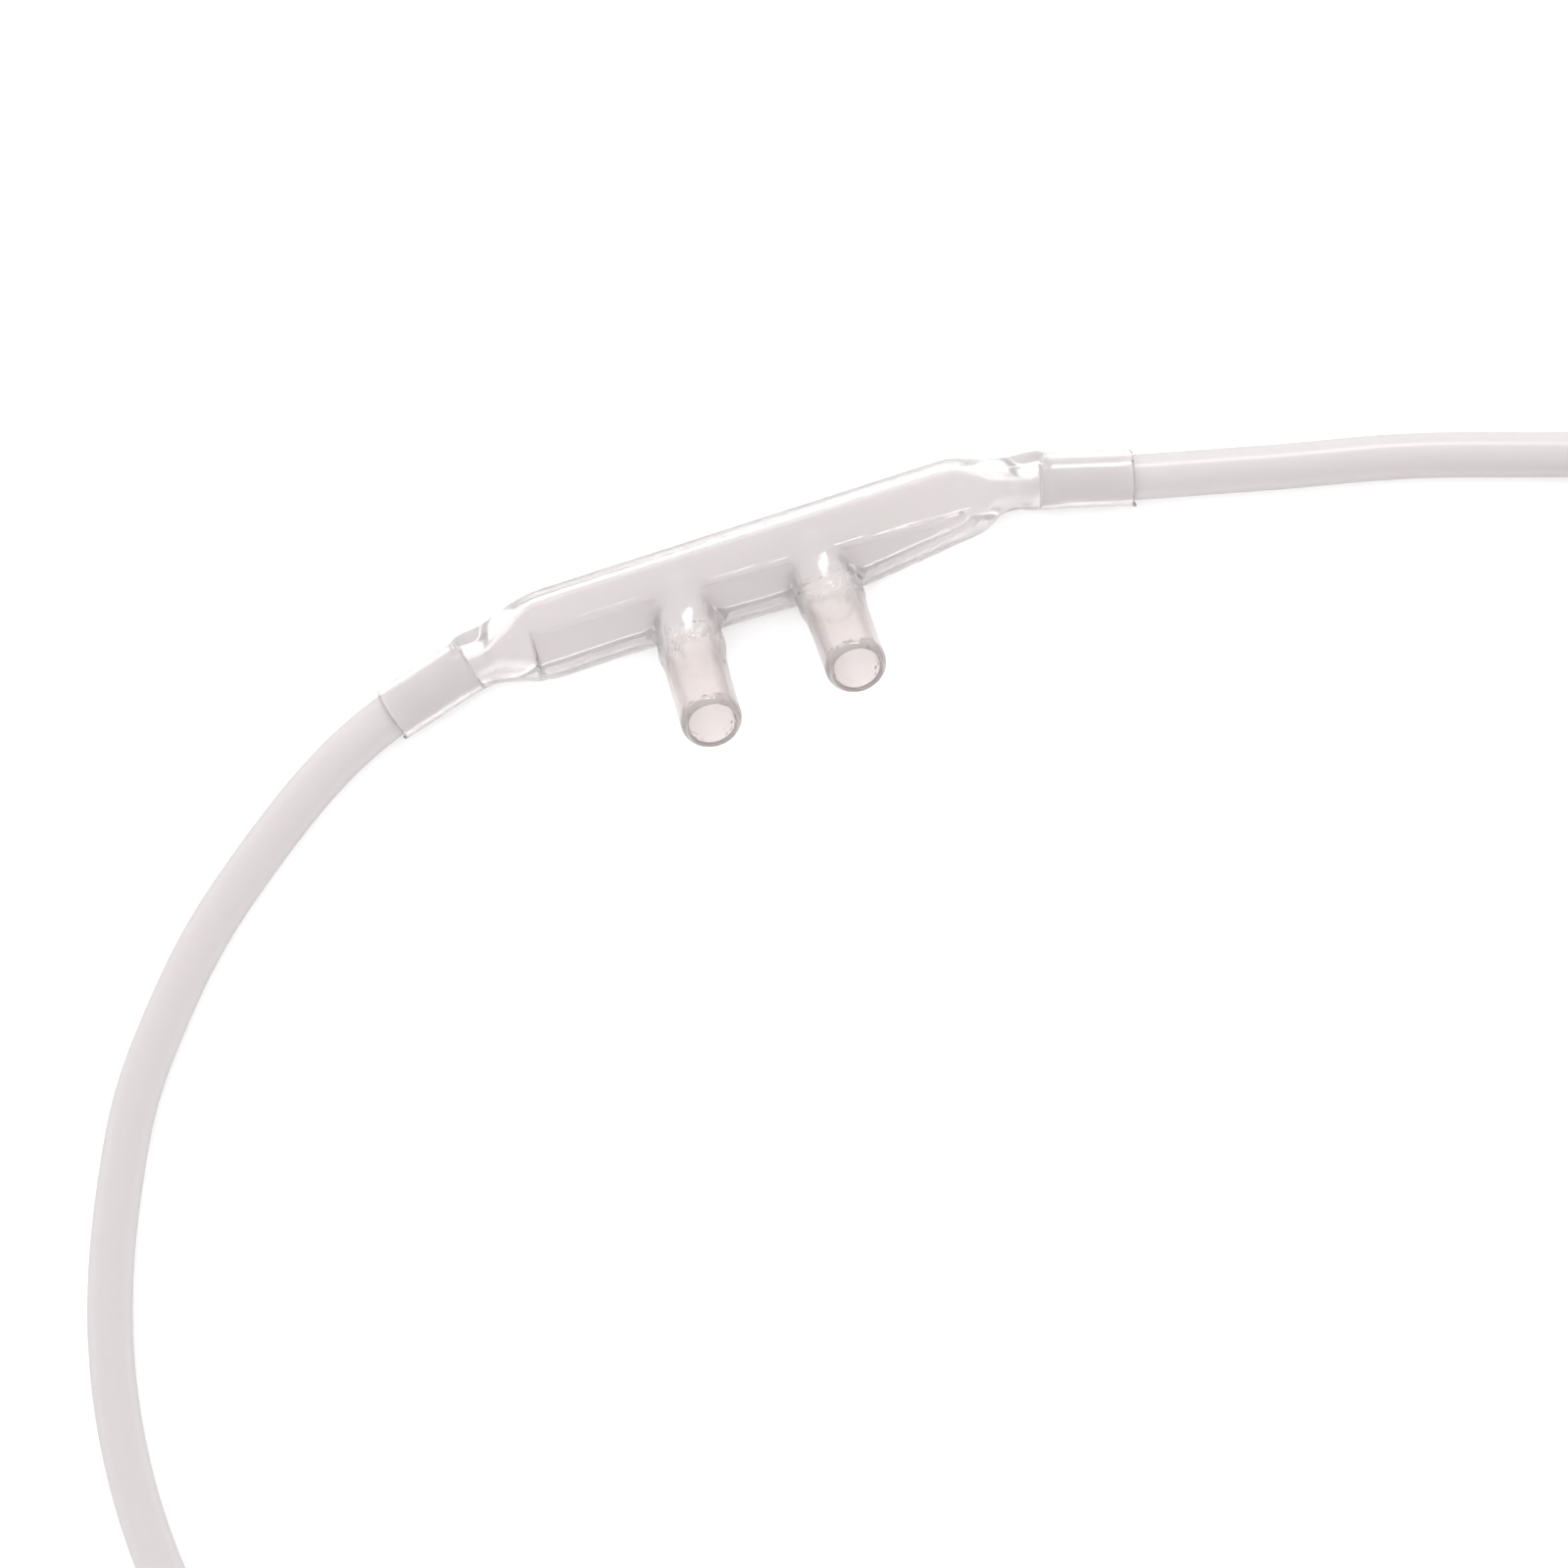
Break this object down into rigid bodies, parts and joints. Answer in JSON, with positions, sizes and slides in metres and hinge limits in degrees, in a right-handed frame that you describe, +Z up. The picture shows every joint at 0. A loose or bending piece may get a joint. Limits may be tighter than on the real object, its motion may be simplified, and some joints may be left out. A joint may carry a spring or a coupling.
{
  "type": "nasal oxygen cannula",
  "caption": "Soft clear nasal oxygen cannula lying flat: hollow facepiece with two curved prongs, headset tubes, slide adjuster, Y connector, coiled supply tube and funnel end.",
  "frame": {"origin": "middle of the facepiece's flat back, on the surface that everything lies on", "axes": "+X along the facepiece towards its right sleeve as the picture shows it, +Z up from the surface, prongs leave towards -Y and curve up"},
  "size_m": [0.2219, 0.1249, 0.0346],
  "materials": {
    "soft_clear_pvc": "clear soft moulded PVC, glossy with a faint grey-pink tint",
    "clear_tube": "clear soft extruded PVC, slightly milky, satin gloss",
    "white_plastic": "natural white moulded polyethylene, satin",
    "tie_band": "white paper-covered band, matt"
  },
  "bodies": {
    "root": {"facepiece": "soft_clear_pvc", "left_headset_tube": "clear_tube", "right_headset_tube": "clear_tube", "left_headset_tube_end": "clear_tube", "right_headset_tube_end": "clear_tube", "headset_coil": "clear_tube", "slide_adjuster": "white_plastic", "y_connector": "soft_clear_pvc", "supply_tube": "clear_tube", "supply_coil": "clear_tube", "supply_tube_end": "clear_tube", "end_connector": "soft_clear_pvc", "coil_tie": "tie_band"}
  },
  "joints": []
}
